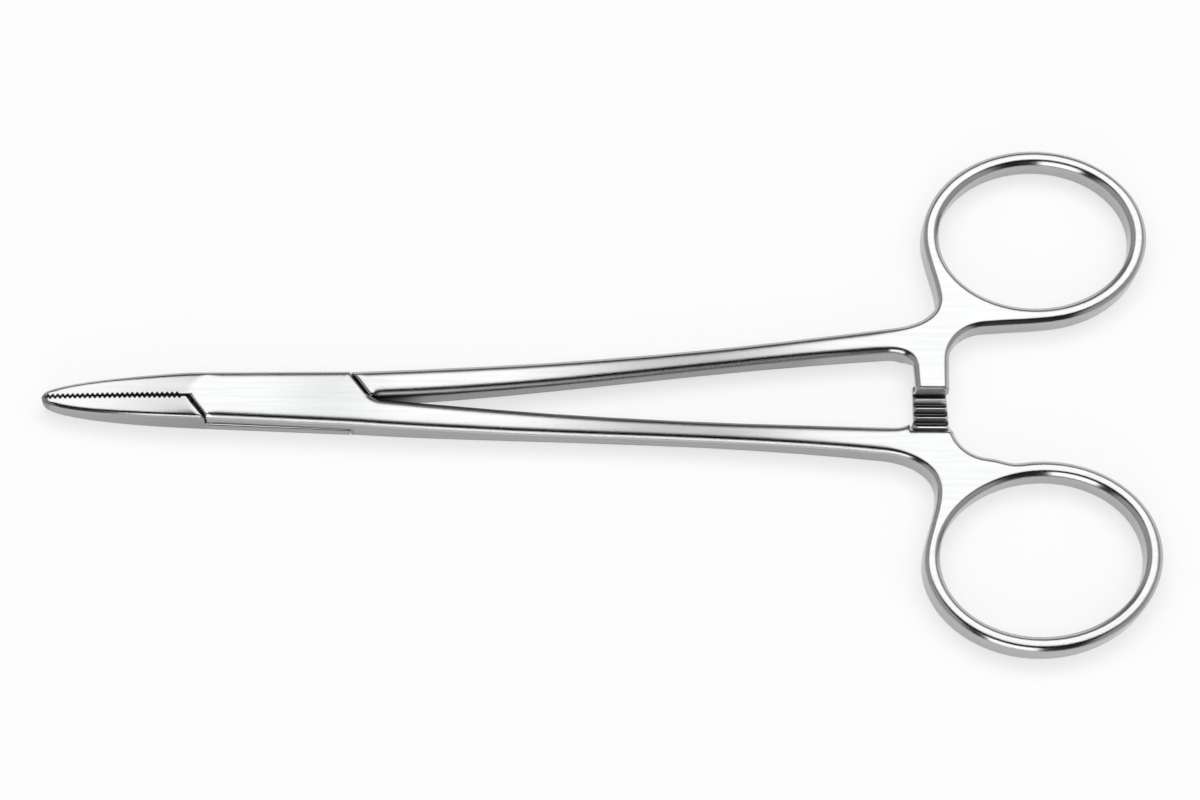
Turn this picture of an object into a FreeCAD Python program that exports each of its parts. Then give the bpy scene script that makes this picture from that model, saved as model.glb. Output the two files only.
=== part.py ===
import FreeCAD, Part
import Sketcher
import math
import os

# Surgical needle holder: two forged halves that cross in a lap joint and turn on one pin.
# Millimetres and degrees. +X runs from the joint to the finger rings, +Y to the upper ring.
# The origin is on the pin's axis, in the flat underside of the joint.
# Both halves are drawn in their own frame: x along the instrument, y outwards to the
# half's own ring, z from its joint plate upwards. The top half is then turned over.

# The driving dimensions: name, value, meaning
SIZES = [
    ("joint_thick", 4.6, "thickness at the joint"),
    ("shank_thick", 3.3, "least thickness of the shanks"),
    ("ring_thick", 4.0, "thickness of the finger rings"),
    ("tip_thick", 2.9, "thickness at the jaw tips"),
    ("nose_drop", 0.50, "how far the jaw's flat side drops at the very tip"),
    ("nose_run", 1.40, "length of the rounding at the very tip"),
    ("jaw_taper", 9.0, "length of the thinning towards the tip"),
    ("flat_lead", 2.5, "flat side in front of the front step"),
    ("slim_at", 52.0, "where the shanks are thinnest"),
    ("thick_at", 90.0, "where the shanks reach the ring thickness"),
    ("lap_gap", 0.08, "clearance between the two joint plates"),
    ("edge_bevel", 0.58, "bevel along shanks and rings"),
    ("jaw_bevel", 0.40, "bevel along jaws and joint"),
    ("opening_bevel", 0.65, "bevel around the ring openings"),
    ("step_bevel", 0.32, "bevel on the two slanting edges of each joint plate"),
    ("tooth_bevel", 0.35, "bevel along both sides of the ratchet teeth"),
    ("tip_reach", 33.45, "from the pin to the jaw tips"),
    ("bite_offset", 0.10, "height of the bite line above the pin axis"),
    ("bite_gap_tip", 0.10, "gap between the jaws at the tip"),
    ("bite_gap_root", 0.34, "gap between the jaws at the root"),
    ("jaw_swell_at", 27.0, "where the jaw outline is steered"),
    ("notch_pitch", 0.70, "spacing of the bite notches"),
    ("notch_wide", 0.50, "width of a bite notch"),
    ("notch_deep", 0.27, "depth of a bite notch"),
    ("notch_lead", 1.10, "from the jaw's tip to the first notch"),
    ("notch_end", 1.30, "plain length between the notches and the joint"),
    ("front_inner", 12.8, "front step at the bite line"),
    ("front_outer", 10.1, "front step at the outside"),
    ("back_outer", 9.9, "back step at the outside"),
    ("back_inner", 12.8, "back step at the crotch"),
    ("step_gap", 0.30, "clearance along both steps"),
    ("crotch_gap", 0.30, "gap between the shanks at the crotch"),
    ("crotch_run", 0.40, "length of the crotch's blunt end"),
    ("joint_upper_front", 3.65, "upper joint edge, front"),
    ("joint_upper_back", 3.90, "upper joint edge, back"),
    ("joint_lower_front", 3.35, "lower joint edge, front"),
    ("joint_lower_back", 4.25, "lower joint edge, back"),
    ("pin_radius", 1.35, "radius of the joint pin"),
    ("head_radius", 2.30, "radius of the pin's sunk head"),
    ("run_gap", 0.04, "radial running clearance of the pin"),
    ("pin_cover", 0.70, "metal left over the end of the pin"),
    ("arm_gap", 0.08, "clearance between the ratchet arms"),
    ("tooth_pitch", 1.43, "spacing of the ratchet teeth"),
    ("tooth_deep", 0.66, "depth of the ratchet teeth"),
    ("tooth_land", 0.12, "width of a tooth's crest"),
    ("tooth_face", 0.64, "run of a tooth's locking face"),
    ("arm_slope", 0.45, "how far the ratchet arm's end leans back"),
    ("arm_draft", 0.10, "narrowing of the ratchet arms towards their ends"),
    ("arm_left", 89.7, "where the ratchet relief starts"),
    ("band_wide", 2.30, "width of the finger ring's metal"),
    ("under_jaw_swell", 1.80, "lower jaw: roundness of the nose"),
    ("under_jaw_belly", 2.75, "lower jaw: fullness"),
    ("top_jaw_swell", 1.55, "upper jaw: roundness of the nose"),
    ("top_jaw_belly", 2.65, "upper jaw: fullness"),
    ("under_ring_x", 109.80, "upper ring: centre along"),
    ("under_ring_y", 26.10, "upper ring: centre outwards"),
    ("under_ring_long", 14.27, "upper ring: half length of the opening"),
    ("under_ring_short", 11.50, "upper ring: half width of the opening"),
    ("under_ring_lean", 7.0, "upper ring: lean outwards"),
    ("top_ring_x", 107.70, "lower ring: centre along"),
    ("top_ring_y", 23.44, "lower ring: centre outwards"),
    ("top_ring_long", 14.80, "lower ring: half length of the opening"),
    ("top_ring_short", 11.85, "lower ring: half width of the opening"),
    ("top_ring_lean", -9.0, "lower ring: lean outwards"),
    ("under_outer_end_x", 88.6, "upper shank: outer edge ends"),
    ("under_outer_end_y", 11.35, "upper shank: outer edge ends"),
    ("under_outer_near", 5.11, "upper shank: outer edge, first third"),
    ("under_outer_far", 7.62, "upper shank: outer edge, second third"),
    ("under_inner_end_x", 87.6, "upper shank: inner edge ends"),
    ("under_inner_end_y", 7.40, "upper shank: inner edge ends"),
    ("under_inner_near", 1.25, "upper shank: inner edge, first third"),
    ("under_inner_far", 5.69, "upper shank: inner edge, second third"),
    ("top_outer_end_x", 86.2, "lower shank: outer edge ends"),
    ("top_outer_end_y", 8.20, "lower shank: outer edge ends"),
    ("top_outer_near", 6.00, "lower shank: outer edge, first third"),
    ("top_outer_far", 5.54, "lower shank: outer edge, second third"),
    ("top_inner_end_x", 87.5, "lower shank: inner edge ends"),
    ("top_inner_end_y", 4.15, "lower shank: inner edge ends"),
    ("top_inner_near", 2.40, "lower shank: inner edge, first third"),
    ("top_inner_far", 3.57, "lower shank: inner edge, second third"),
    ("under_neck_x", 94.9, "upper ring: neck, left side"),
    ("under_neck_y", 16.0, "upper ring: neck, height"),
    ("top_neck_x", 93.2, "lower ring: neck, left side"),
    ("top_neck_y", 13.6, "lower ring: neck, height"),
    ("under_arm_tip", 1.40, "upper arm: end"),
    ("top_arm_tip", -2.90, "lower arm: end, past the middle"),
    ("under_arm_root", 5.2, "upper arm: left side ends"),
    ("top_arm_root", 1.9, "lower arm: left side ends"),
    ("under_arm_left", 90.9, "upper arm: left side"),
    ("top_arm_left", 90.7, "lower arm: left side"),
    ("under_arm_right", 95.75, "upper arm: right side"),
    ("top_arm_right", 95.55, "lower arm: right side"),
    ("under_arm_hip", 6.0, "upper arm: right side ends"),
    ("top_arm_hip", 3.5, "lower arm: right side ends"),
    ("under_seat_x", 101.5, "upper ring: underside meets the arm"),
    ("under_seat_y", 11.60, "upper ring: underside meets the arm"),
    ("top_seat_x", 100.8, "lower ring: underside meets the arm"),
    ("top_seat_y", 8.75, "lower ring: underside meets the arm"),
    ("under_tooth_lead", 0.34, "upper arm: from its end to the first tooth"),
    ("top_tooth_lead", 0.66, "lower arm: from its end to the first tooth"),
    ("under_tooth_count", 3, "upper arm: number of teeth"),
    ("top_tooth_count", 4, "lower arm: number of teeth"),
    ("last_land", 0.22, "plain land behind the last tooth"),
    ("relief_run", 1.35, "length of the relief's ramp"),
]

# Control arm of a cubic curve that follows a quarter of an ellipse
QUARTER = 0.5523


class Size:
    """A length that knows its value and the formula that binds it to the sheet."""

    def __init__(self, value, text=None):
        self.value = float(value)
        self.text = text if text is not None else repr(float(value))

    def join(self, other, sign, result):
        return Size(result, "(%s %s %s)" % (self.text, sign, other.text))

    def __add__(self, other):
        other = as_size(other)
        return self.join(other, "+", self.value + other.value)

    def __sub__(self, other):
        other = as_size(other)
        return self.join(other, "-", self.value - other.value)

    def __mul__(self, other):
        other = as_size(other)
        return self.join(other, "*", self.value * other.value)

    def __truediv__(self, other):
        other = as_size(other)
        return self.join(other, "/", self.value / other.value)

    def __neg__(self):
        return Size(-self.value, "(0 - %s)" % self.text)

    def cosine(self):
        return Size(math.cos(math.radians(self.value)), "cos(%s * 1 deg)" % self.text)

    def sine(self):
        return Size(math.sin(math.radians(self.value)), "sin(%s * 1 deg)" % self.text)

    def whole(self):
        return Size(math.floor(self.value), "floor(%s)" % self.text)


def as_size(number):
    return number if isinstance(number, Size) else Size(number)


# The document and its sheet of dimensions
doc = FreeCAD.newDocument("NeedleHolder")
sheet = doc.addObject("Spreadsheet::Sheet", "Sizes")
for row, (name, value, meaning) in enumerate(SIZES, start=1):
    sheet.set("A%d" % row, name)
    sheet.set("B%d" % row, str(value))
    sheet.set("C%d" % row, meaning)
    sheet.setAlias("B%d" % row, name)
doc.recompute()


def dim(name):
    return Size(sheet.get(name), "Sizes." + name)


def bind(feature, prop, size):
    """Ties one property of a feature to the sheet."""
    feature.setExpression(prop, size.text)


def new_body(name):
    body = doc.addObject("PartDesign::Body", name)
    body.Label = name
    return body


def new_sketch(body, name, plane, lift=None):
    """A sketch on one of the body's own base planes, lifted off it by a bound distance."""
    sketch = body.newObject("Sketcher::SketchObject", name)
    base = [item for item in body.Origin.OriginFeatures if item.Role == plane][0]
    sketch.AttachmentSupport = [(base, "")]
    sketch.MapMode = "FlatFace"
    if lift is not None:
        bind(sketch, ".AttachmentOffset.Base.z", lift)
    return sketch


class Pen:
    """Draws a closed outline of lines and cubic curves whose points are bound to the sheet."""

    def __init__(self, sketch, start):
        self.sketch = sketch
        self.start = start
        self.here = start
        self.pieces = []

    def fix(self, geometry, end, point):
        for kind, size in zip(("DistanceX", "DistanceY"), point):
            rule = Sketcher.Constraint(kind, -1, 1, geometry, end, size.value)
            number = self.sketch.addConstraint(rule)
            self.sketch.setExpression("Constraints[%d]" % number, size.text)

    def line(self, x, y, label=""):
        target = (as_size(x), as_size(y))
        first = FreeCAD.Vector(self.here[0].value, self.here[1].value, 0)
        last = FreeCAD.Vector(target[0].value, target[1].value, 0)
        segment = Part.LineSegment(first, last)
        number = self.sketch.addGeometry(segment, False)
        self.fix(number, 1, self.here)
        self.fix(number, 2, target)
        self.pieces.append((label, segment.toShape()))
        self.here = target

    def curve(self, *points, label=""):
        poles = [self.here] + [(as_size(x), as_size(y)) for x, y in points]
        spots = [FreeCAD.Vector(x.value, y.value, 0) for x, y in poles]
        spline = Part.BSplineCurve()
        spans = len(spots) - 3
        knots = [step / spans for step in range(spans + 1)]
        repeats = [4] + [1] * (spans - 1) + [4]
        spline.buildFromPolesMultsKnots(spots, repeats, knots, False, 3)
        handles = []
        for spot in spots:
            circle = Part.Circle(spot, FreeCAD.Vector(0, 0, 1), 0.5)
            handles.append(self.sketch.addGeometry(circle, True))
        number = self.sketch.addGeometry(spline, False)
        for order, handle in enumerate(handles):
            self.sketch.addConstraint(Sketcher.Constraint("Weight", handle, 1.0))
            kind = "InternalAlignment:Sketcher::BSplineControlPoint"
            self.sketch.addConstraint(Sketcher.Constraint(kind, handle, 3, number, order))
            self.fix(handle, 3, poles[order])
        self.pieces.append((label, spline.toShape()))
        self.here = poles[-1]

    def corner(self, corner_x, corner_y, end_x, end_y, pull=0.6, label=""):
        """A rounded corner: leaves towards the corner point and arrives from it."""
        corner = (as_size(corner_x), as_size(corner_y))
        end = (as_size(end_x), as_size(end_y))
        leave = tuple(a + (c - a) * pull for a, c in zip(self.here, corner))
        arrive = tuple(b + (c - b) * pull for b, c in zip(end, corner))
        self.curve(leave, arrive, end, label=label)

    def close(self, label=""):
        self.line(self.start[0], self.start[1], label)


def pad(body, sketch, name, length, middle=False):
    feature = body.newObject("PartDesign::Pad", name)
    feature.Profile = sketch
    feature.Midplane = middle
    bind(feature, "Length", length)
    doc.recompute()
    return feature


def pocket(body, sketch, name, length, reverse=False, middle=False):
    """Cuts a sketch out of the body and makes sure that it removed metal."""
    before = body.Shape.Volume
    feature = body.newObject("PartDesign::Pocket", name)
    feature.Profile = sketch
    bind(feature, "Length", length)
    feature.Reversed = reverse
    feature.Midplane = middle
    doc.recompute()
    if body.Shape.Volume > before - 0.001:
        raise RuntimeError(name + " cuts nothing")
    return feature


def rim_edges(shape, pieces, labels, level=None):
    """Names the edges between a flat side and a wall that stand over the labelled pieces."""
    found = []
    for order, edge in enumerate(shape.Edges, start=1):
        middle = edge.valueAt((edge.FirstParameter + edge.LastParameter) / 2.0)
        steep = []
        for face in shape.ancestorsOfType(edge, Part.Face):
            u, v = face.Surface.parameter(middle)
            steep.append(abs(face.normalAt(u, v).z))
        if len(steep) != 2 or min(steep) > 0.1 or max(steep) < 0.8:
            continue
        if level is not None and abs(middle.z - level) > 0.3:
            continue
        spot = Part.Vertex(middle.x, middle.y, 0)
        near = min(pieces, key=lambda piece: piece[1].distToShape(spot)[0])
        if near[1].distToShape(spot)[0] < 0.02 and near[0] in labels:
            found.append("Edge%d" % order)
    return found


def chamfer(body, name, edges, size):
    base = body.Tip
    feature = body.newObject("PartDesign::Chamfer", name)
    feature.Base = (base, edges)
    bind(feature, "Size", size)
    doc.recompute()
    return feature


def ellipse_points(x, y, long, short, lean):
    """The four end points of an ellipse's axes and its two axis directions."""
    across = (lean.cosine(), lean.sine())
    upward = (-lean.sine(), lean.cosine())
    right = (x + across[0] * long, y + across[1] * long)
    top = (x + upward[0] * short, y + upward[1] * short)
    left = (x - across[0] * long, y - across[1] * long)
    bottom = (x - upward[0] * short, y - upward[1] * short)
    return right, top, left, bottom, across, upward


def quarter(pen, end, leave, arrive, label=""):
    """A quarter of an ellipse, from the pen to an end point."""
    first = tuple(a + step * QUARTER for a, step in zip(pen.here, leave))
    second = tuple(b - step * QUARTER for b, step in zip(end, arrive))
    pen.curve(first, second, end, label=label)


def scaled(direction, length):
    return (direction[0] * length, direction[1] * length)


def build_half(name, side):
    """One forged half in its own frame; side is +1 for the upper ring, -1 for the lower."""
    key = "under_" if side > 0 else "top_"
    own = lambda word: dim(key + word)
    upper = (dim("joint_upper_front"), dim("joint_upper_back"))
    lower = (dim("joint_lower_front"), dim("joint_lower_back"))
    jaw_front, jaw_back = lower if side > 0 else upper
    far_front, far_back = upper if side > 0 else lower
    bite = dim("bite_offset") * side
    tip = (-dim("tip_reach"), bite - dim("bite_gap_tip") / 2)
    root = (-dim("front_inner"), bite - dim("bite_gap_root") / 2)
    mid = dim("joint_thick") / 2

    # Plan outline of the forging: jaw, joint, shank, ratchet arm and ring
    body = new_body(name)
    plan = new_sketch(body, name + "_plan", "XY_Plane", mid)
    pen = Pen(plan, tip)
    nose = (tip[0], tip[1] - own("jaw_swell"))
    cheek = (-dim("jaw_swell_at"), -own("jaw_belly"))
    pen.curve(nose, cheek, (-dim("front_inner"), -jaw_front), label="jaw")
    pen.line(dim("back_outer"), -jaw_back, "jaw")
    pen.line(dim("back_inner"), -dim("crotch_gap") / 3, "back step")
    pen.line(dim("back_inner") + dim("crotch_run"), dim("crotch_gap") / 2, "crotch")
    start = pen.here
    end = (own("inner_end_x"), own("inner_end_y"))
    third = (end[0] - start[0]) / 3
    near = (start[0] + third, own("inner_near"))
    far = (end[0] - third, own("inner_far"))
    pen.curve(near, far, end, label="edge")
    left = own("arm_left")
    pen.corner(left, end[1], left, own("arm_root"), label="edge")
    draft = dim("arm_draft")
    pen.line(left + draft, own("arm_tip"), "arm side")
    pen.line(own("arm_right"), own("arm_tip"), "arm end")
    pen.line(own("arm_right") + draft * 2, own("arm_hip"), "arm side")
    seat = (own("seat_x"), own("seat_y"))
    pen.corner(own("arm_right") + draft * 4, seat[1] - draft * 5, seat[0], seat[1], label="edge")

    # Finger ring: three quarters of its outer ellipse, entered from the arm
    band = dim("band_wide")
    lean = own("ring_lean")
    long = own("ring_long") + band
    short = own("ring_short") + band
    ring = ellipse_points(own("ring_x"), own("ring_y"), long, short, lean)
    right, top, left_end, bottom, across, upward = ring
    reach = (bottom[0] - seat[0]) * 0.4
    lead = (seat[0] + reach, seat[1] + reach * 0.09)
    settle = (bottom[0] - across[0] * reach, bottom[1] - across[1] * reach)
    pen.curve(lead, settle, bottom, label="edge")
    quarter(pen, right, scaled(across, long), scaled(upward, short), "edge")
    quarter(pen, top, scaled(upward, short), scaled(across, -long), "edge")
    quarter(pen, left_end, scaled(across, -long), scaled(upward, -short), "edge")
    neck = (own("neck_x"), own("neck_y"))
    fall = (left_end[1] - neck[1]) * 0.35
    first = (left_end[0] - upward[0] * fall, left_end[1] - upward[1] * fall)
    second = (neck[0] - 0.2, neck[1] + fall)
    pen.curve(first, second, neck, label="edge")

    # Outer edge of the shank, the joint plate's outer edge and the front step
    end = (own("outer_end_x"), own("outer_end_y"))
    pen.corner(neck[0], end[1] + 0.9, end[0], end[1], label="edge")
    third = (end[0] - dim("back_outer")) / 3
    far = (end[0] - third, own("outer_far"))
    near = (dim("back_outer") + third, own("outer_near"))
    pen.curve(far, near, (dim("back_outer"), far_back), label="edge")
    pen.line(-dim("front_outer"), far_front, "edge")
    pen.line(root[0], root[1], "front step")
    pen.close("bite")
    outline = pen.pieces
    pad(body, plan, name + "_blank", dim("joint_thick") + 1, middle=True)

    # Side view: one smooth line on each flat side, through jaw, joint, shank and ring
    side_view = new_sketch(body, name + "_side_view", "XZ_Plane")
    full = dim("joint_thick")
    slim = dim("shank_thick")
    ring_full = dim("ring_thick")
    tip_x = -dim("tip_reach")
    far_end = own("ring_x") + long + band
    stations = [
        (tip_x + dim("nose_run") * 0.1, dim("tip_thick") - dim("nose_drop") * 0.2),
        (tip_x + dim("nose_run"), dim("tip_thick")),
        (tip_x + dim("jaw_taper"), dim("tip_thick") * 0.4 + full * 0.6),
        (-dim("front_inner") - dim("flat_lead"), full),
        (-dim("front_outer"), full),
        (Size(0), full),
        (dim("back_outer") - dim("flat_lead"), full),
        (dim("back_inner"), full),
        (dim("slim_at") * 0.4 + dim("back_outer") * 0.6, (slim + full) / 2),
        (dim("slim_at") * 0.7 + dim("back_outer") * 0.3, slim),
        (dim("slim_at"), slim),
        (dim("slim_at") * 0.7 + dim("thick_at") * 0.3, slim),
        (dim("slim_at") * 0.3 + dim("thick_at") * 0.7, ring_full),
        (dim("thick_at"), ring_full),
        (dim("thick_at") * 0.7 + far_end * 0.3, ring_full),
        (dim("thick_at") * 0.3 + far_end * 0.7, ring_full),
    ]
    for sign in (1, -1):
        outside = mid + (mid + 2) * sign
        nose_top = mid + (dim("tip_thick") / 2 - dim("nose_drop")) * sign
        pen = Pen(side_view, (tip_x - dim("nose_run") * 0.3, outside))
        pen.line(tip_x - dim("nose_run") * 0.3, nose_top)
        points = [(x, mid + thickness / 2 * sign) for x, thickness in stations]
        pen.curve(*points, (far_end, mid + ring_full / 2 * sign))
        pen.line(far_end, outside)
        pen.close()
    width = (own("ring_y") + long) * 3
    pocket(body, side_view, name + "_taper", width, middle=True)

    # Bevels along the outside
    edges = rim_edges(body.Shape, outline, ("jaw",))
    chamfer(body, name + "_jaw_bevel", edges, dim("jaw_bevel"))
    edges = rim_edges(body.Shape, outline, ("edge", "arm side"))
    chamfer(body, name + "_edge_bevel", edges, dim("edge_bevel"))

    # The ring's opening
    hole = new_sketch(body, name + "_opening", "XY_Plane")
    long = own("ring_long")
    short = own("ring_short")
    ring = ellipse_points(own("ring_x"), own("ring_y"), long, short, lean)
    right, top, left_end, bottom, across, upward = ring
    pen = Pen(hole, bottom)
    quarter(pen, right, scaled(across, long), scaled(upward, short), "opening")
    quarter(pen, top, scaled(upward, short), scaled(across, -long), "opening")
    quarter(pen, left_end, scaled(across, -long), scaled(upward, -short), "opening")
    quarter(pen, bottom, scaled(upward, -short), scaled(across, long), "opening")
    pocket(body, hole, name + "_opening_cut", dim("joint_thick") * 2, reverse=True)
    edges = rim_edges(body.Shape, pen.pieces, ("opening",))
    chamfer(body, name + "_opening_bevel", edges, dim("opening_bevel"))

    # Joint plate: everything above the middle goes, between the two steps
    relief = new_sketch(body, name + "_lap", "XY_Plane", mid - dim("lap_gap") / 2)
    gap = dim("step_gap")
    slant = (dim("front_inner") - dim("front_outer")) / (far_front + bite)
    pen = Pen(relief, (root[0] - gap, root[1] + 0.5))
    pen.line(root[0] - gap, root[1])
    pen.line(-dim("front_outer") - gap + slant, -jaw_front - 1)
    pen.line(dim("back_inner") + gap, -jaw_front - 1)
    pen.line(dim("back_inner") + gap, -dim("crotch_gap") / 3)
    pen.line(dim("back_outer") + gap, far_back)
    pen.line(dim("back_outer") + gap - 1, far_back + 1)
    pen.line(root[0] - gap, far_back + 1)
    pen.close()
    pocket(body, relief, name + "_lap_cut", dim("joint_thick"), reverse=True)
    edges = rim_edges(body.Shape, outline, ("front step", "back step"), level=0)
    chamfer(body, name + "_step_bevel", edges, dim("step_bevel"))

    # Ratchet arm: thinned to its outer half, its end leaning back, with a row of teeth
    level = mid + dim("arm_gap") / 2
    depth = ring_full / 2 - dim("arm_gap") / 2
    crest = own("arm_tip") + own("tooth_lead")
    relief_in = crest + dim("tooth_pitch") * own("tooth_count") - dim("tooth_land") + dim("last_land")
    arm_width = own("arm_right") - dim("arm_left") + 1
    thin = new_sketch(body, name + "_arm_relief", "YZ_Plane", dim("arm_left"))
    pen = Pen(thin, (relief_in, level))
    pen.line(own("arm_tip") - 1, level)
    pen.line(own("arm_tip") - 1, level - depth * 1.5)
    pen.line(relief_in + dim("relief_run") * 1.5, level - depth * 1.5)
    pen.close()
    pocket(body, thin, name + "_arm_cut", arm_width, reverse=True)
    halfway = (own("arm_tip") - 1 + relief_in) / 2
    corners = new_sketch(body, name + "_arm_corners", "XZ_Plane", -halfway)
    over = dim("tooth_bevel") + 1
    for inside, away in ((left + draft, -1), (own("arm_right"), 1)):
        pen = Pen(corners, (inside - dim("tooth_bevel") * away, level))
        pen.line(inside + away, level)
        pen.line(inside + away, level + over)
        pen.close()
    pocket(body, corners, name + "_tooth_bevel", relief_in - own("arm_tip") + 1, middle=True)
    slope = new_sketch(body, name + "_arm_slope", "YZ_Plane", dim("arm_left"))
    pen = Pen(slope, (own("arm_tip"), level))
    pen.line(own("arm_tip") + dim("arm_slope") * 1.5, level + depth * 1.5)
    pen.line(own("arm_tip") - 1, level + depth * 1.5)
    pen.line(own("arm_tip") - 1, level)
    pen.close()
    pocket(body, slope, name + "_arm_end", arm_width, reverse=True)
    groove = new_sketch(body, name + "_tooth", "YZ_Plane", dim("arm_left"))
    pen = Pen(groove, (crest, level))
    pen.line(crest + dim("tooth_face"), level + dim("tooth_deep"))
    pen.line(crest + dim("tooth_pitch") - dim("tooth_land"), level)
    pen.close()
    tooth = pocket(body, groove, name + "_tooth_cut", arm_width, reverse=True)
    repeat(body, tooth, name + "_teeth", groove, "H_Axis", own("tooth_count"), dim("tooth_pitch"))

    # Bite notches, repeated along the slightly opening face of the jaw
    notch = new_sketch(body, name + "_notch", "XY_Plane")
    shift = dim("notch_pitch") / 4 * side
    open_rate = (root[1] - tip[1]) / (dim("tip_reach") - dim("front_inner"))
    place = dim("notch_lead") - dim("tip_reach") + shift
    face_y = tip[1] + open_rate * (dim("tip_reach") + place)
    half = dim("notch_wide") / 2
    deep = face_y - dim("notch_deep")
    pen = Pen(notch, (place - half, face_y))
    pen.line(place - half * 0.3, deep)
    pen.line(place + half * 0.3, deep)
    pen.line(place + half, face_y)
    pen.line(place + half, face_y + 0.3)
    pen.line(place - half, face_y + 0.3)
    pen.close()
    guide = Part.LineSegment(FreeCAD.Vector(place.value, face_y.value, 0),
                             FreeCAD.Vector(root[0].value, root[1].value, 0))
    number = notch.addGeometry(guide, True)
    pen.fix(number, 1, (place, face_y))
    pen.fix(number, 2, root)
    cut = pocket(body, notch, name + "_notch_cut", dim("joint_thick") * 2, reverse=True)
    room = dim("tip_reach") - dim("front_inner") - dim("notch_lead") - dim("notch_end")
    count = (room / dim("notch_pitch")).whole() + 1
    repeat(body, cut, name + "_notches", notch, "Axis0", count, dim("notch_pitch"))
    return body


def repeat(body, feature, name, sketch, axis, count, step):
    """A row of the feature, counted and spaced from the sheet."""
    row = body.newObject("PartDesign::LinearPattern", name)
    row.Originals = [feature]
    row.Direction = (sketch, [axis])
    row.Mode = "Spacing"
    bind(row, "Occurrences", count)
    bind(row, "Offset", step)
    body.Tip = row
    doc.recompute()
    return row


def circle_sketch(body, name, radius, lift):
    sketch = new_sketch(body, name, "XY_Plane", lift)
    ring = Part.Circle(FreeCAD.Vector(0, 0, 0), FreeCAD.Vector(0, 0, 1), radius.value)
    number = sketch.addGeometry(ring, False)
    sketch.addConstraint(Sketcher.Constraint("Coincident", number, 3, -1, 1))
    rule = sketch.addConstraint(Sketcher.Constraint("Radius", number, radius.value))
    sketch.setExpression("Constraints[%d]" % rule, radius.text)
    return sketch


# The half with the lower jaw and the upper ring: its joint plate lies underneath
under_half = build_half("under_half", 1)
plate_face = dim("joint_thick") / 2 - dim("lap_gap") / 2
bore = circle_sketch(under_half, "under_bore", dim("pin_radius") + dim("run_gap"), plate_face)
pocket(under_half, bore, "under_bore_cut", dim("joint_thick"))
mouth = []
for order, edge in enumerate(under_half.Shape.Edges, start=1):
    box = edge.BoundBox
    if box.ZMax < 0.01 and max(-box.XMin, box.XMax, -box.YMin, box.YMax) < 2:
        mouth.append("Edge%d" % order)
chamfer(under_half, "under_countersink", mouth, dim("head_radius") - dim("pin_radius"))

# The half with the upper jaw and the lower ring: turned over, so its plate lies on top
top_half = build_half("top_half", -1)
seat = circle_sketch(top_half, "top_bore", dim("pin_radius"), plate_face)
pocket(top_half, seat, "top_bore_cut", plate_face - dim("pin_cover"))
turn = FreeCAD.Rotation(FreeCAD.Vector(1, 0, 0), 180)
top_half.Placement = FreeCAD.Placement(FreeCAD.Vector(0, 0, 0), turn)
bind(top_half, ".Placement.Base.z", dim("joint_thick"))

# The joint pin: sunk head flush with the underside, end held in the top half
joint_pin = new_body("joint_pin")
profile = new_sketch(joint_pin, "pin_profile", "XZ_Plane")
sink = dim("head_radius") - dim("pin_radius")
pin_top = dim("joint_thick") - dim("pin_cover")
pen = Pen(profile, (Size(0), Size(0)))
pen.line(dim("head_radius"), 0)
pen.line(dim("pin_radius"), sink)
pen.line(dim("pin_radius"), pin_top)
pen.line(0, pin_top)
pen.close()
spin = joint_pin.newObject("PartDesign::Revolution", "pin_turned")
spin.Profile = profile
spin.ReferenceAxis = (profile, ["V_Axis"])
spin.Angle = 360
doc.recompute()

# Check every feature, then write each piece
for item in doc.Objects:
    if "Invalid" in item.State or "Error" in item.State:
        raise RuntimeError(item.Name + " failed: " + str(item.State))
os.makedirs("parts", exist_ok=True)
for piece in (under_half, top_half, joint_pin):
    shape = piece.Shape
    if shape.isNull() or not shape.isValid() or len(shape.Solids) != 1:
        raise RuntimeError(piece.Label + " is not one valid solid")
    shape.exportStep("parts/" + piece.Label + ".step")
    box = shape.BoundBox
    print(piece.Label, "volume %.1f" % shape.Volume, "faces", len(shape.Faces))
    print("  x %.2f to %.2f, y %.2f to %.2f" % (box.XMin, box.XMax, box.YMin, box.YMax))
    print("  z %.2f to %.2f" % (box.ZMin, box.ZMax))
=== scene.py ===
# %% [markdown]
# # A surgical needle holder in polished steel
# Two forged halves cross in a lap joint and turn on one pin. The halves and the pin come
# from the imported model, in metres, and their shapes stay as they are.
# This lesson gives them what a drawing can't show: how ground and polished steel looks,
# what light such steel needs, and a camera that stands where the photographer stood.

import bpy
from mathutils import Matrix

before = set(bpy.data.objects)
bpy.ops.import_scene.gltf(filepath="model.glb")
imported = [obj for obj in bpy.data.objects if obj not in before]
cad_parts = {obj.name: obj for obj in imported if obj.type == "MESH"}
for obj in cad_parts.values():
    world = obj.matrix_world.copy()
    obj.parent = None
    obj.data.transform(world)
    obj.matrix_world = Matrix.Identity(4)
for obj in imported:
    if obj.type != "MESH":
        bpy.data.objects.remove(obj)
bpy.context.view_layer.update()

# %% [markdown]
# ## The camera
# The photograph looks down on the instrument from the jaws' lower side. An azimuth, an
# elevation and a small roll give the direction, and a long lens at a short distance gives
# its mild perspective. A quaternion that turns the camera's +Z towards the back direction
# avoids any mix-up between three separate angles.

# %% Camera at the photograph's viewing angle
import math
import bpy
from mathutils import Quaternion, Vector

MM = 0.001
VIEW_AZIMUTH = math.radians(-8.33)
VIEW_ELEVATION = math.radians(67.87)
VIEW_ROLL = math.radians(7.98)
VIEW_DISTANCE = 450 * MM
VIEW_TARGET = Vector((45.5, -0.30, 4.3)) * MM
LENS_MM = 94.9
SENSOR_MM = 36
NEAREST_SEEN = 10 * MM

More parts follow.
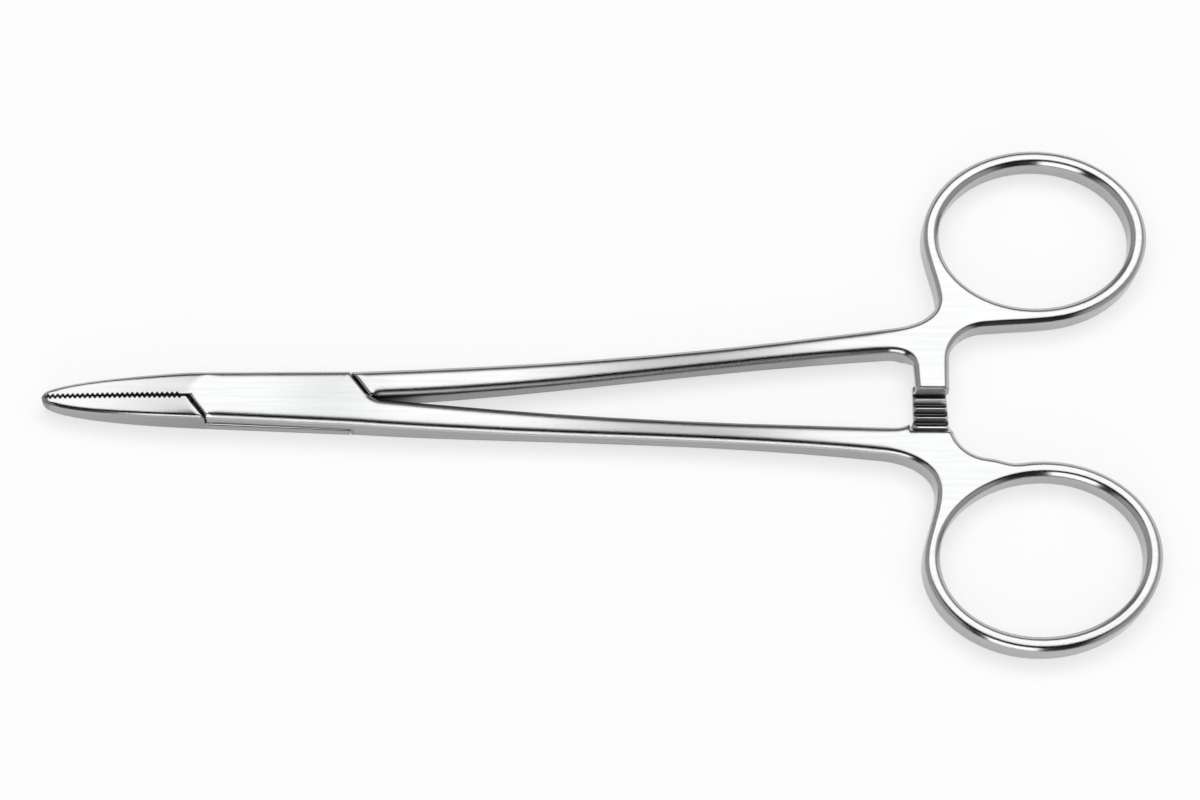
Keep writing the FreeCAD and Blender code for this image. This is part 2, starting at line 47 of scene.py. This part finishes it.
flat = math.cos(VIEW_ELEVATION)
view_back = Vector((math.sin(VIEW_AZIMUTH) * flat, -math.cos(VIEW_AZIMUTH) * flat,
                    math.sin(VIEW_ELEVATION)))
lens = bpy.data.cameras.new("view_lens")
lens.sensor_width = SENSOR_MM
lens.lens = LENS_MM
lens.clip_start = NEAREST_SEEN
camera = bpy.data.objects.new("view_camera", lens)
camera.location = VIEW_TARGET + view_back * VIEW_DISTANCE
camera.rotation_mode = "QUATERNION"
camera.rotation_quaternion = (view_back.to_track_quat("Z", "Y")
                              @ Quaternion((0, 0, 1), VIEW_ROLL))
bpy.context.scene.collection.objects.link(camera)
bpy.context.scene.camera = camera
bpy.context.scene.view_settings.view_transform = "Standard"
print("camera at, mm:", [round(v / MM, 1) for v in camera.location])


# %% [markdown]
# ## Small helpers for node trees
# A material is a graph. These helpers add a node, set its plain values and join sockets,
# so that each finish below reads as a short recipe.

# %% Helpers: nodes and sockets
def add_node(tree, kind, **settings):
    """Adds a node and sets attributes of it, such as its operation."""
    node = tree.nodes.new(kind)
    for key, value in settings.items():
        setattr(node, key, value)
    return node


def fill(node, **values):
    """Sets input sockets by name, with an underscore for each space."""
    for key, value in values.items():
        node.inputs[key.replace("_", " ")].default_value = value
    return node


def new_group(name, inputs, outputs):
    """A shader node group with float inputs (name, default) and named float outputs."""
    group = bpy.data.node_groups.new(name, "ShaderNodeTree")
    for label, default in inputs:
        socket = group.interface.new_socket(name=label, in_out="INPUT",
                                            socket_type="NodeSocketFloat")
        socket.default_value = default
    for label in outputs:
        group.interface.new_socket(name=label, in_out="OUTPUT",
                                   socket_type="NodeSocketFloat")
    return group, group.nodes.new("NodeGroupInput"), group.nodes.new("NodeGroupOutput")


def use_group(tree, group, **values):
    """Places a group in a tree, with its own values."""
    return fill(add_node(tree, "ShaderNodeGroup", node_tree=group), **values)


# %% Helpers: arithmetic on sockets
def math_node(tree, operation, *values):
    """One step of arithmetic on sockets or numbers."""
    node = add_node(tree, "ShaderNodeMath", operation=operation)
    for socket, value in zip(node.inputs, values):
        if isinstance(value, (int, float)):
            socket.default_value = value
        else:
            tree.links.new(value, socket)
    return node.outputs[0]


def times(tree, first, *others):
    """The product of any number of sockets or numbers."""
    for other in others:
        first = math_node(tree, "MULTIPLY", first, other)
    return first


def largest(tree, first, *others):
    """The largest of any number of sockets or numbers."""
    for other in others:
        first = math_node(tree, "MAXIMUM", first, other)
    return first


def share_of(tree, value, factor, start):
    """The value times a factor, added to a start."""
    return math_node(tree, "MULTIPLY_ADD", value, factor, start)


def fade(tree, value, none, full):
    """Is 0 at none, 1 at full and smooth between them, whichever is the larger."""
    node = add_node(tree, "ShaderNodeMapRange", interpolation_type="SMOOTHSTEP")
    fill(node, From_Min=none, From_Max=full, To_Min=0.0, To_Max=1.0)
    tree.links.new(value, node.inputs["Value"])
    return node.outputs["Result"]


# %% [markdown]
# ## Effect: grinding lines
# Belt grinding leaves fine parallel scratches along the instrument. Noise whose space is
# squeezed along one axis makes such lines at any scale. Two sizes are mixed, because a
# real belt leaves both hairlines and a few broader streaks.

# %% Group: grinding lines along X
STREAK_WIDENING = 0.16

grind, grind_in, grind_out = new_group(
    "grinding_lines", [("Lines per mm", 9.0), ("Length mm", 9.0)], ["Lines", "Streaks"])
spot = add_node(grind, "ShaderNodeTexCoord")
split = add_node(grind, "ShaderNodeSeparateXYZ")
grind.links.new(spot.outputs["Object"], split.inputs[0])
along = math_node(grind, "DIVIDE", math_node(grind, "DIVIDE", split.outputs[0], MM),
                  grind_in.outputs["Length mm"])
for scale, label in ((1.0, "Lines"), (STREAK_WIDENING, "Streaks")):
    per_metre = times(grind, grind_in.outputs["Lines per mm"], scale / MM)
    place = add_node(grind, "ShaderNodeCombineXYZ")
    grind.links.new(times(grind, along, 0.5 + scale), place.inputs[0])
    for axis in (1, 2):
        grind.links.new(times(grind, split.outputs[axis], per_metre), place.inputs[axis])
    noise = add_node(grind, "ShaderNodeTexNoise")
    fill(noise, Scale=1.0, Detail=3.0, Roughness=0.6)
    grind.links.new(place.outputs[0], noise.inputs["Vector"])
    grind.links.new(noise.outputs["Fac"], grind_out.inputs[label])
print("group:", grind.name, [item.name for item in grind.interface.items_tree])

# %% [markdown]
# ## Effect: handling haze
# Polished steel is never equally bright: wiping leaves soft, wide patches that are a little
# duller. Low, slow noise moves the brightness and the roughness by a few hundredths.

# %% Group: handling haze
haze, haze_in, haze_out = new_group("handling_haze", [("Patch mm", 11.0)], ["Haze"])
spot = add_node(haze, "ShaderNodeTexCoord")
noise = add_node(haze, "ShaderNodeTexNoise")
fill(noise, Detail=4.0, Roughness=0.55)
haze.links.new(spot.outputs["Object"], noise.inputs["Vector"])
haze.links.new(math_node(haze, "DIVIDE", 1 / MM, haze_in.outputs["Patch mm"]),
               noise.inputs["Scale"])
haze.links.new(noise.outputs["Fac"], haze_out.inputs["Haze"])
print("group:", haze.name)


# %% [markdown]
# ## Zones of the forging
# A finish changes from place to place: the jaws are dressed by hand, and the bite and the
# ratchet are cut last. Painted shade changes from place to place too. All of this depends
# only on where a spot lies on the forging. So every zone below is read from object
# coordinates in millimetres: x runs from the jaws (minus) to the rings (plus) with the pin
# at zero, y runs across and z is the height. A zone is a product of soft limits, and a
# limit is written as a measure, the place where it ends and the place where it is full.

# %% Helpers: places and zones
LAP_LEVEL = 2.3


def places(tree):
    """Sockets in mm for x, y, distance across and distance from the lap level, and the
    parts of the surface's direction."""
    spot = add_node(tree, "ShaderNodeTexCoord")
    point = add_node(tree, "ShaderNodeSeparateXYZ")
    facing = add_node(tree, "ShaderNodeSeparateXYZ")
    tree.links.new(spot.outputs["Object"], point.inputs[0])
    tree.links.new(spot.outputs["Normal"], facing.inputs[0])
    x, y, z = (math_node(tree, "DIVIDE", socket, MM) for socket in point.outputs)
    over_lap = math_node(tree, "SUBTRACT", z, LAP_LEVEL)
    return {"x": x, "y": y, "across": math_node(tree, "ABSOLUTE", y),
            "over_lap": over_lap, "off_lap": math_node(tree, "ABSOLUTE", over_lap),
            "facing_y": facing.outputs[1],
            "flatness": math_node(tree, "ABSOLUTE", facing.outputs[2])}


def zone(tree, *limits):
    """A mask from soft limits, each (measure, where it is 0, where it is 1)."""
    return times(tree, *(fade(tree, *limit) for limit in limits))


# %% [markdown]
# ## Effect: dressed jaws
# A file and a felt wheel dress the jaws after forging, so their flat sides are very
# slightly crowned. The crown ends in an arc where the jaw meets the flat joint. Leaning the
# surface's direction sideways gives the crown without a change of shape, and the light
# then falls off across the jaw as on the real one. The same arc, strongest at the root,
# also places the painted shade on the jaw tops further down.

# %% Group: dressed jaws
ARC_BEND = 0.22
ARC_EDGE = (12.1, 13.6)
ARC_FADE = (29.7, 12.7)

dressed, dressed_in, dressed_out = new_group(
    "dressed_jaws", [("Crown degrees", 9.5), ("Half width mm", 3.4)],
    ["Crown lean", "On jaw"])
at = places(dressed)
ahead = math_node(dressed, "SUBTRACT", times(dressed, at["y"], at["y"], ARC_BEND), at["x"])
on_jaw = times(dressed, zone(dressed, (ahead, *ARC_EDGE), (ahead, *ARC_FADE)),
               math_node(dressed, "LESS_THAN", at["x"], 0))
crown = math_node(dressed, "RADIANS", dressed_in.outputs["Crown degrees"])
lean = math_node(dressed, "DIVIDE",
                 times(dressed, at["y"], math_node(dressed, "TANGENT", crown)),
                 dressed_in.outputs["Half width mm"])
dressed.links.new(times(dressed, lean, on_jaw), dressed_out.inputs["Crown lean"])
dressed.links.new(on_jaw, dressed_out.inputs["On jaw"])
print("group:", dressed.name)


# %% [markdown]
# ## Effect: how round the edges are
# Polishing rounds the long edges of joint and shanks the most, and those of the thinner
# jaws and rings less. The bite, the ratchet and the steps of the lap joint are cut after
# polishing and stay crisp. The group gives the share of the full rounding that an edge
# keeps. Over the pin it is small too, so that the hidden bore doesn't show through.

# %% Helper: the two slanting steps of the lap joint
STEPS = ({"start": -12.95, "slant": 0.78, "reach": 3.1, "side": -1, "crisp": 0.78},
         {"start": 12.95, "slant": -0.71, "reach": 3.75, "side": 1, "crisp": 0.45})


def near_step(tree, at, step, none, full):
    """A mask along one step's line, as wide as the two distances say."""
    line = share_of(tree, at["across"], step["slant"], step["start"])
    off_line = math_node(tree, "ABSOLUTE", math_node(tree, "SUBTRACT", at["x"], line))
    return zone(tree, (off_line, none, full),
                (at["across"], step["reach"] + 0.15, step["reach"]))


# %% Group: edge share
edges, _, edges_out = new_group("edge_rounding", [], ["Edge share"])
at = places(edges)
from_pin = share_of(edges, at["x"], at["x"], times(edges, at["y"], at["y"]))
thin_metal = largest(edges, zone(edges, (at["x"], -8, -11)), zone(edges, (at["x"], 84, 92)))
over_pin = zone(edges, (from_pin, 11.0, 6.0), (at["across"], 2.6, 2.2))
bite = zone(edges, (at["x"], -11.7, -12.7), (at["across"], 1.1, 0.6))
ratchet = zone(edges, (at["x"], 88.8, 89.4), (at["x"], 97.2, 96.6),
               (at["across"], 6.4, 5.6), (at["off_lap"], 1.4, 1.1))
crisp = [times(edges, thin_metal, 0.58), times(edges, over_pin, 0.75),
         times(edges, bite, 0.90), times(edges, ratchet, 0.95)]
flank = times(edges, at["y"], math_node(edges, "SIGN", at["over_lap"]))
for step in STEPS:
    own_side = math_node(edges, "GREATER_THAN", times(edges, flank, step["side"]), 0)
    crisp.append(times(edges, near_step(edges, at, step, 1.5, 0.9), own_side, step["crisp"]))
edges.links.new(math_node(edges, "SUBTRACT", 1.0, largest(edges, *crisp)),
                edges_out.inputs["Edge share"])
print("group:", edges.name, "with", len(crisp), "crisp zones")

# %% [markdown]
# ## Effect: painted shade in the grooves, on the walls and at the nose
# The colour is painted darker where shade falls: in the notches of the bite, the steps, the
# seam between the two joint plates and the crotch. The walls that face each other between
# the shanks, all other steep walls and the sides of the very nose get painted shade too.
# The same mask also makes all these places rougher.

# %% Group: painted shade and roughness
BEHIND_STEP = 12.45

shade_tree, _, shade_out = new_group("painted_shade_and_roughness", [], ["Unpolished"])
at = places(shade_tree)
steep = fade(shade_tree, at["flatness"], 0.62, 0.45)
from_joint = math_node(shade_tree, "ABSOLUTE", at["x"])
behind_step = math_node(shade_tree, "GREATER_THAN", at["x"], BEHIND_STEP)
notches = zone(shade_tree, (at["x"], -12.4, -12.7), (at["across"], 0.75, 0.5))
crotch = zone(shade_tree, (at["x"], 26.0, 13.95), (at["across"], 2.8, 2.3))
seam = zone(shade_tree, (at["off_lap"], 0.46, 0.30), (from_joint, 10.4, 10.0))
# Painted shade: the notches, the crotch, the seam and the steps are darkened as if in shade.
shaded_grooves = largest(shade_tree, times(shade_tree, notches, 0.78), times(shade_tree, crotch, behind_step), seam,
                  *(near_step(shade_tree, at, step, 0.75, 0.5) for step in STEPS))

inward = times(shade_tree, math_node(shade_tree, "SIGN", at["y"]), at["facing_y"])
# Painted shade on the walls that face each other between the shanks.
shade_between_shanks = zone(shade_tree, (inward, -0.2, -0.5), (at["x"], 86, 74))
# Painted shade on all steep walls, stronger before the rings than on them.
wall_shade = share_of(shade_tree, fade(shade_tree, at["x"], 94, 82), 0.16, 0.13)
# Painted shade on the sides of the very nose.
nose_shade = zone(shade_tree, (at["x"], -31.4, -32.7), (at["flatness"], 0.97, 0.85))
shade_and_rough = largest(shade_tree, times(shade_tree, shaded_grooves, steep), times(shade_tree, steep, wall_shade),
                     times(shade_tree, shade_between_shanks, behind_step, 0.42), times(shade_tree, nose_shade, 0.55))
shade_tree.links.new(shade_and_rough, shade_out.inputs["Unpolished"])
print("group:", shade_tree.name)

# %% [markdown]
# ## Effect: darker tops, with painted shade at the jaw root
# The flat tops are darker in soft patches. At the root of the jaws this is painted shade.
# The middle of the joint and, most of all, the middle of the shanks are darker too. Each
# patch is a share by which the steel gets darker.

# %% Group: darker tops, with painted shade at the jaw root
# The jaw share is painted shade at the root of the jaws; the joint and shank shares darken the
# middle of those tops.
JAW_PAINTED_SHADE, JOINT_DARKER, SHANK_DARKER = 0.20, 0.12, 0.40
FLAT = (0.90, 0.97)

tops, tops_in, tops_out = new_group("darker_tops_with_painted_shade", [("On jaw", 0.0)], ["Dull"])
at = places(tops)
joint = zone(tops, (at["x"], -4, 7), (at["x"], 19, 8), (at["flatness"], *FLAT))
shanks = zone(tops, (at["x"], 31, 56), (at["x"], 82, 61), (at["flatness"], *FLAT))
# Painted shade at the jaw root, together with the darker joint and shank patches.
darker_patches = largest(tops, times(tops, tops_in.outputs["On jaw"], JAW_PAINTED_SHADE),
                   times(tops, joint, JOINT_DARKER), times(tops, shanks, SHANK_DARKER))
tops.links.new(darker_patches, tops_out.inputs["Dull"])
print("group:", tops.name)

# %% [markdown]
# ## Finish: ground and polished steel
# The Principled shader is set to full Metallic, so its Base Color is the tint of its
# reflections. Streaks and haze move that colour, and painted shade darkens it in the grooves,
# on the steep walls, at the nose and at the root of the jaws; the middle of the joint and of
# the shanks is darker too. The fine lines move the roughness and a very shallow bump, and
# the places of the painted shade in grooves, walls and nose are also rougher. A Bevel node
# rounds the shading at the edges, because a polished forging has no sharp long edge, and
# the rounding is what draws the thin dark lines along it.

# %% Steel recipe: colour and roughness
STEEL_TINT = (0.995, 1.0, 1.008)
# The last depth is how far the painted shade of grooves, walls and nose darkens the steel.
STREAK_DEPTH, HAZE_DEPTH, PAINTED_SHADE_DEPTH = 0.10, 0.05, 0.9


def steel_colour(tree, tone, lines, patches, shade_and_rough, top_darkening):
    """The tint of the reflections, from a tone, the effects and the painted shade."""
    streaked = share_of(tree, lines.outputs["Streaks"], STREAK_DEPTH, tone - STREAK_DEPTH / 2)
    clouded = share_of(tree, patches.outputs["Haze"], HAZE_DEPTH, -HAZE_DEPTH / 2)
    # Painted shade: grooves, walls, nose and jaw root are darkened here, and so are the joint
    # and shank patches.
    brightness = times(tree, math_node(tree, "ADD", streaked, clouded),
                       share_of(tree, shade_and_rough, -PAINTED_SHADE_DEPTH, 1.0),
                       share_of(tree, top_darkening, -1.0, 1.0))
    colour = add_node(tree, "ShaderNodeCombineColor")
    for order, tint in enumerate(STEEL_TINT):
        tree.links.new(times(tree, brightness, tint), colour.inputs[order])
    return colour.outputs[0]


def steel_roughness(tree, roughness, lines, patches, shade_and_rough):
    """Roughness from haze, fine lines and the zones of painted shade, which are rougher too."""
    hazy = share_of(tree, patches.outputs["Haze"], 0.08, roughness - 0.06)
    scratched = share_of(tree, lines.outputs["Lines"], 0.06, hazy)
    return share_of(tree, shade_and_rough, 0.3, scratched)


# %% Steel recipe: edges, crown and grinding lines
EDGE_ROUND = 1.45 * MM
LINE_DEPTH = 0.02 * MM


def steel_normal(tree, edge_share, crown_lean, lines, bump_share):
    """The surface's direction with rounded edges, crowned jaws and grinding lines."""
    soft_edge = add_node(tree, "ShaderNodeBevel", samples=16)
    tree.links.new(times(tree, edge_share, EDGE_ROUND), soft_edge.inputs["Radius"])
    sideways = add_node(tree, "ShaderNodeCombineXYZ")
    tree.links.new(crown_lean, sideways.inputs[1])
    turned = add_node(tree, "ShaderNodeVectorTransform", vector_type="VECTOR",
                      convert_from="OBJECT", convert_to="WORLD")
    tree.links.new(sideways.outputs[0], turned.inputs[0])
    leaned = add_node(tree, "ShaderNodeVectorMath", operation="ADD")
    tree.links.new(soft_edge.outputs[0], leaned.inputs[0])
    tree.links.new(turned.outputs[0], leaned.inputs[1])
    crowned = add_node(tree, "ShaderNodeVectorMath", operation="NORMALIZE")
    tree.links.new(leaned.outputs[0], crowned.inputs[0])
    bump = add_node(tree, "ShaderNodeBump")
    fill(bump, Strength=bump_share, Distance=LINE_DEPTH)
    tree.links.new(lines.outputs["Lines"], bump.inputs["Height"])
    tree.links.new(crowned.outputs[0], bump.inputs["Normal"])
    return bump.outputs[0]


# %% Steel recipe: the whole material
def steel(name, tone, roughness, lines_per_mm, bump_share):
    """A steel material from the groups above."""
    material = bpy.data.materials.new(name)
    material.use_nodes = True
    tree = material.node_tree
    shader = fill(tree.nodes["Principled BSDF"], Metallic=1.0)
    lines = use_group(tree, grind, Lines_per_mm=lines_per_mm, Length_mm=9.0)
    patches = use_group(tree, haze, Patch_mm=11.0)
    jaws = use_group(tree, dressed, Crown_degrees=9.5, Half_width_mm=3.4)
    shade_and_rough = use_group(tree, shade_tree).outputs["Unpolished"]
    top_darkening = use_group(tree, tops)
    tree.links.new(jaws.outputs["On jaw"], top_darkening.inputs["On jaw"])
    edge_share = use_group(tree, edges).outputs["Edge share"]

    colour = steel_colour(tree, tone, lines, patches, shade_and_rough, top_darkening.outputs["Dull"])
    rough = steel_roughness(tree, roughness, lines, patches, shade_and_rough)
    direction = steel_normal(tree, edge_share, jaws.outputs["Crown lean"], lines, bump_share)
    tree.links.new(colour, shader.inputs["Base Color"])
    tree.links.new(rough, shader.inputs["Roughness"])
    tree.links.new(direction, shader.inputs["Normal"])
    return material


# %% [markdown]
# ## Which piece gets which finish
# Both halves are forged, ground and polished alike. The pin is turned on a lathe, so its
# lines are finer and it stays a little rougher. The pieces keep their own meshes, and only
# their material slots are filled.

# %% Put the finishes on the halves and the pin
polished = steel("polished_steel", tone=0.48, roughness=0.14, lines_per_mm=9.0, bump_share=0.12)
turned_pin = steel("turned_pin_steel", tone=0.46, roughness=0.24, lines_per_mm=14.0,
                   bump_share=0.2)
finishes = {"under_half": polished, "top_half": polished, "joint_pin": turned_pin}
for node, material in finishes.items():
    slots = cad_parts[node].data.materials
    slots.clear()
    slots.append(material)
    print(node, "gets", material.name)


# %% [markdown]
# ## The floor
# Pale plain paper. It takes the object's soft shadow, and the side walls of the steel
# mirror it close to their feet, which is why they look grey in the photograph. For the
# camera and for reflections a part of it is plain white, so that the background stays
# white without more lamps. Seen from below it is clear, so that the underside shows.

# %% Paper
PAPER_COLOUR = (0.93, 0.93, 0.93, 1)
PAPER_WHITE = 0.62


def mix_shaders(tree, share, first, second):
    """A mix of two shaders; the share is how much of the second there is."""
    mix = add_node(tree, "ShaderNodeMixShader")
    for socket, source in zip(mix.inputs, (share, first, second)):
        tree.links.new(source, socket)
    return mix.outputs[0]


def pale_paper():
    """Diffuse paper, partly plain white, and clear from below."""
    material = bpy.data.materials.new("pale_paper")
    material.use_nodes = True
    tree = material.node_tree
    tree.nodes.remove(tree.nodes["Principled BSDF"])
    paper = fill(add_node(tree, "ShaderNodeBsdfDiffuse"), Color=PAPER_COLOUR)
    white = fill(add_node(tree, "ShaderNodeEmission"), Color=(1, 1, 1, 1), Strength=1.0)
    clear = add_node(tree, "ShaderNodeBsdfTransparent")
    ray = add_node(tree, "ShaderNodeLightPath")
    seen = math_node(tree, "ADD", ray.outputs["Is Camera Ray"], ray.outputs["Is Glossy Ray"])
    seen = math_node(tree, "ADD", seen, ray.outputs["Is Transmission Ray"])
    white_share = times(tree, math_node(tree, "MINIMUM", seen, 1.0), PAPER_WHITE)
    from_below = add_node(tree, "ShaderNodeNewGeometry").outputs["Backfacing"]
    lit = mix_shaders(tree, white_share, paper.outputs[0], white.outputs[0])
    both = mix_shaders(tree, from_below, lit, clear.outputs[0])
    tree.links.new(both, tree.nodes["Material Output"].inputs["Surface"])
    return material


# %% Floor
FLOOR_HALF = 3.0
FLOOR_GAP = 0.03 * MM

corners = [(-FLOOR_HALF, -FLOOR_HALF, 0), (FLOOR_HALF, -FLOOR_HALF, 0),
           (FLOOR_HALF, FLOOR_HALF, 0), (-FLOOR_HALF, FLOOR_HALF, 0)]
sheet = bpy.data.meshes.new("floor_paper")
sheet.from_pydata(corners, [], [(0, 1, 2, 3)])
sheet.materials.append(pale_paper())
floor = bpy.data.objects.new("floor", sheet)
floor.location.z = -FLOOR_GAP
bpy.context.scene.collection.objects.link(floor)
print("floor at, mm:", floor.location.z / MM)


# %% [markdown]
# ## Lamps
# Steel shows its surroundings. One large soft lamp hangs above and behind, where the flat
# tops mirror it, and a low one stands in front, where the lower bevels mirror it. A wide
# third lamp lights only the paper: the steel doesn't mirror it, so it costs no contrast.
# An area lamp's face looks as bright as its power divided by its area and pi, so each lamp
# is given by that brightness.

# %% Lamps
AIM = Vector((0.045, 0, 0))


def soft_lamp(name, place, size_x, size_y, glow):
    """A rectangular lamp that faces the instrument; glow is how bright its face looks."""
    data = bpy.data.lights.new(name, "AREA")
    data.shape = "RECTANGLE"
    data.size = size_x
    data.size_y = size_y
    data.energy = glow * size_x * size_y * math.pi
    lamp = bpy.data.objects.new(name, data)
    lamp.location = place
    lamp.rotation_mode = "QUATERNION"
    lamp.rotation_quaternion = (AIM - Vector(place)).to_track_quat("-Z", "Y")
    lamp.visible_camera = False
    bpy.context.scene.collection.objects.link(lamp)
    print(name, "power %.2f W" % data.energy)
    return lamp


soft_lamp("overhead_lamp", (0.085, 0.336, 0.79), 0.82, 0.49, glow=2.0)
soft_lamp("front_lamp", (0.00, -0.85, 0.40), 0.50, 0.42, glow=2.4)
paper_lamp = soft_lamp("fill_lamp", (0.05, 0.05, 1.2), 2.4, 2.0, glow=1.0)
paper_lamp.visible_glossy = False

# %% [markdown]
# ## The room
# The room is what the steel mirrors between the lamps. Near the horizon it is a pale grey
# wall. Above that it is almost black, and this dark part draws the thin lines along the
# edges. Grey panels at both ends and a faint one behind keep the rings' sides and the upper
# edges from going as dark as the lower ones.

# %% World
LOW_WALL, DARK_ROOM, SIDE_PANEL = 0.7, 0.02, 0.52
WALL_TOP = (0.08, 0.12)
PANEL_START = (0.50, 0.68)
BACK_START = (0.30, 0.55)
BACK_SHARE = 0.25

world = bpy.data.worlds.new("studio_room")
bpy.context.scene.world = world
world.use_nodes = True
tree = world.node_tree
spot = add_node(tree, "ShaderNodeTexCoord")
way = add_node(tree, "ShaderNodeSeparateXYZ")
tree.links.new(spot.outputs["Generated"], way.inputs[0])
room = add_node(tree, "ShaderNodeMapRange")
fill(room, From_Min=WALL_TOP[0], From_Max=WALL_TOP[1], To_Min=LOW_WALL, To_Max=DARK_ROOM)
tree.links.new(way.outputs[2], room.inputs["Value"])
ends = fade(tree, math_node(tree, "ABSOLUTE", way.outputs[0]), *PANEL_START)
behind = times(tree, fade(tree, way.outputs[1], *BACK_START), BACK_SHARE)
to_panel = math_node(tree, "SUBTRACT", SIDE_PANEL, room.outputs["Result"])
grey = math_node(tree, "MULTIPLY_ADD", largest(tree, ends, behind), to_panel,
                 room.outputs["Result"])
tree.links.new(grey, tree.nodes["Background"].inputs["Color"])
print("room: wall", LOW_WALL, "above it", DARK_ROOM, "panels", SIDE_PANEL)
